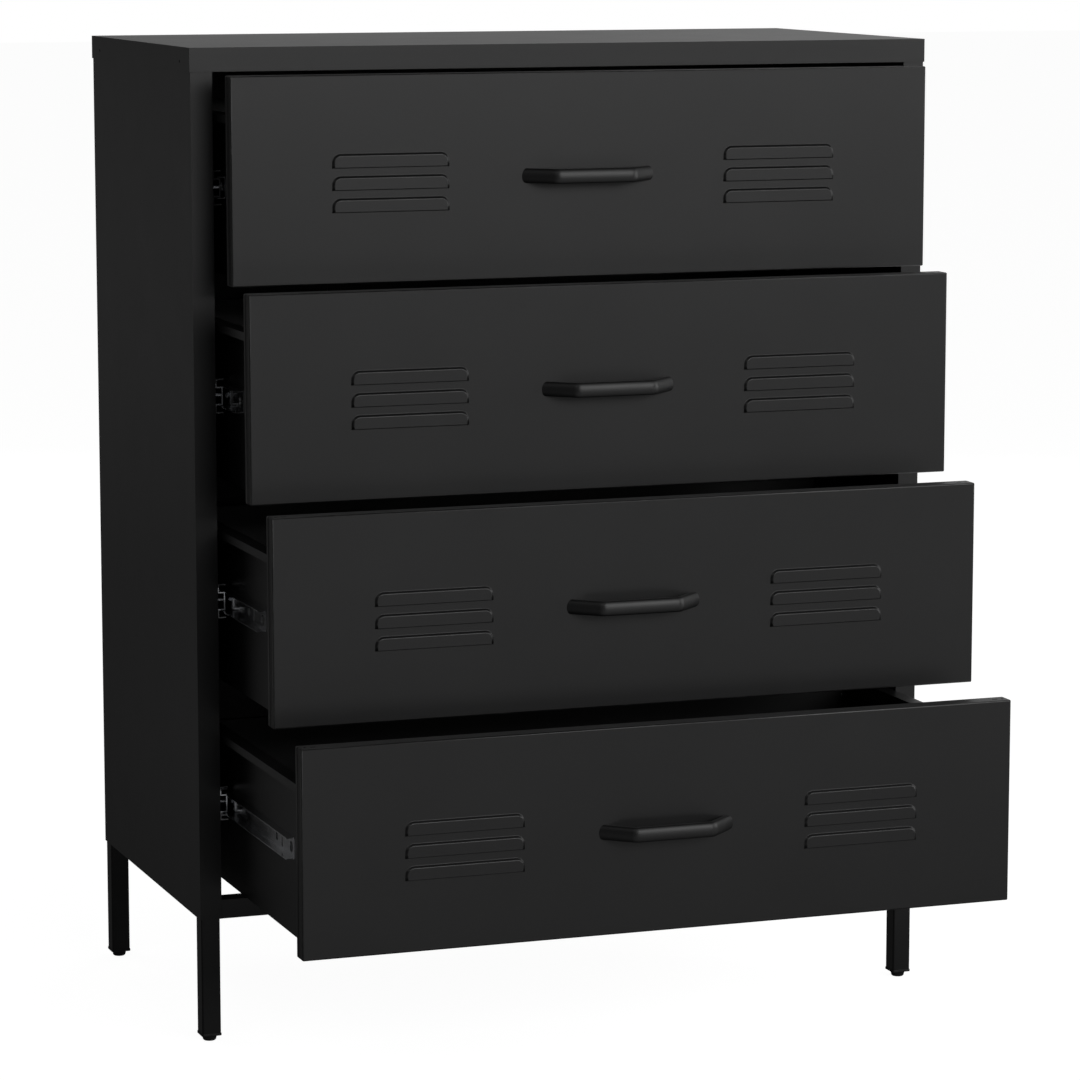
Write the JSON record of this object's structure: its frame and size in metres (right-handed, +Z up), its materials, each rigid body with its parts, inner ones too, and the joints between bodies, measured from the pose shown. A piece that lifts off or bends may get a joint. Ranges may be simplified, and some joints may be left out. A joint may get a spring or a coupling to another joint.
{
  "type": "tall chest of drawers",
  "caption": "Tall free-standing sheet-steel chest of drawers on square-tube legs, with louvred fronts, bridge handles and ball-bearing slides.",
  "frame": {"origin": "on the floor, at the middle of the whole part's box, with its drawers open as modelled", "axes": "+Z up, -Y out of the drawer fronts, +X to the right of someone facing the fronts"},
  "size_m": [0.8, 0.709, 1.015],
  "materials": {
    "powder_coat": "matte black powder coat with a fine texture",
    "handle_black": "satin black",
    "foot_plastic": "moulded black plastic",
    "zinc_plate": "bright zinc plate"
  },
  "bodies": {
    "cabinet": {"top_panel": "powder_coat", "left_side_panel": "powder_coat", "right_side_panel": "powder_coat", "back_panel": "powder_coat", "bottom_front_rail": "powder_coat", "bottom_rear_rail": "powder_coat", "left_front_leg": "powder_coat", "right_front_leg": "powder_coat", "left_rear_leg": "powder_coat", "right_rear_leg": "powder_coat", "left_front_upright": "powder_coat", "right_front_upright": "powder_coat", "left_rear_upright": "powder_coat", "right_rear_upright": "powder_coat", "foot_plugs": "foot_plastic", "cabinet_screws": "zinc_plate", "drawer_1_fixed_rails": "zinc_plate", "drawer_2_fixed_rails": "zinc_plate", "drawer_3_fixed_rails": "zinc_plate", "drawer_4_fixed_rails": "zinc_plate"},
    "drawer_1": {"drawer_1_front": "powder_coat", "drawer_1_left_side": "powder_coat", "drawer_1_right_side": "powder_coat", "drawer_1_floor": "powder_coat", "drawer_1_back": "powder_coat", "drawer_1_handle": "handle_black", "drawer_1_left_runner": "zinc_plate", "drawer_1_right_runner": "zinc_plate", "drawer_1_fasteners": "zinc_plate"},
    "drawer_1_cages": {"drawer_1_ball_cages": "zinc_plate"},
    "drawer_2": {"drawer_2_front": "powder_coat", "drawer_2_left_side": "powder_coat", "drawer_2_right_side": "powder_coat", "drawer_2_floor": "powder_coat", "drawer_2_back": "powder_coat", "drawer_2_handle": "handle_black", "drawer_2_left_runner": "zinc_plate", "drawer_2_right_runner": "zinc_plate", "drawer_2_fasteners": "zinc_plate"},
    "drawer_2_cages": {"drawer_2_ball_cages": "zinc_plate"},
    "drawer_3": {"drawer_3_front": "powder_coat", "drawer_3_left_side": "powder_coat", "drawer_3_right_side": "powder_coat", "drawer_3_floor": "powder_coat", "drawer_3_back": "powder_coat", "drawer_3_handle": "handle_black", "drawer_3_left_runner": "zinc_plate", "drawer_3_right_runner": "zinc_plate", "drawer_3_fasteners": "zinc_plate"},
    "drawer_3_cages": {"drawer_3_ball_cages": "zinc_plate"},
    "drawer_4": {"drawer_4_front": "powder_coat", "drawer_4_left_side": "powder_coat", "drawer_4_right_side": "powder_coat", "drawer_4_floor": "powder_coat", "drawer_4_back": "powder_coat", "drawer_4_handle": "handle_black", "drawer_4_left_runner": "zinc_plate", "drawer_4_right_runner": "zinc_plate", "drawer_4_fasteners": "zinc_plate"},
    "drawer_4_cages": {"drawer_4_ball_cages": "zinc_plate"}
  },
  "joints": [
    {"name": "drawer_1_slide", "type": "slide", "parent": "cabinet", "child": "drawer_1", "axis": [0, -1, 0], "range_m": [-0.058, 0.232]},
    {"name": "drawer_1_cages_roll", "type": "slide", "parent": "cabinet", "child": "drawer_1_cages", "axis": [0, -1, 0], "range_m": [-0.029, 0.116]},
    {"name": "drawer_2_slide", "type": "slide", "parent": "cabinet", "child": "drawer_2", "axis": [0, -1, 0], "range_m": [-0.117, 0.173]},
    {"name": "drawer_2_cages_roll", "type": "slide", "parent": "cabinet", "child": "drawer_2_cages", "axis": [0, -1, 0], "range_m": [-0.0585, 0.0865]},
    {"name": "drawer_3_slide", "type": "slide", "parent": "cabinet", "child": "drawer_3", "axis": [0, -1, 0], "range_m": [-0.19, 0.1]},
    {"name": "drawer_3_cages_roll", "type": "slide", "parent": "cabinet", "child": "drawer_3_cages", "axis": [0, -1, 0], "range_m": [-0.095, 0.05]},
    {"name": "drawer_4_slide", "type": "slide", "parent": "cabinet", "child": "drawer_4", "axis": [0, -1, 0], "range_m": [-0.282, 0.008]},
    {"name": "drawer_4_cages_roll", "type": "slide", "parent": "cabinet", "child": "drawer_4_cages", "axis": [0, -1, 0], "range_m": [-0.141, 0.004]}
  ],
  "couplings": [
    {"joint": "drawer_1_cages_roll", "follows": "drawer_1_slide", "ratio": 0.5},
    {"joint": "drawer_2_cages_roll", "follows": "drawer_2_slide", "ratio": 0.5},
    {"joint": "drawer_3_cages_roll", "follows": "drawer_3_slide", "ratio": 0.5},
    {"joint": "drawer_4_cages_roll", "follows": "drawer_4_slide", "ratio": 0.5}
  ]
}
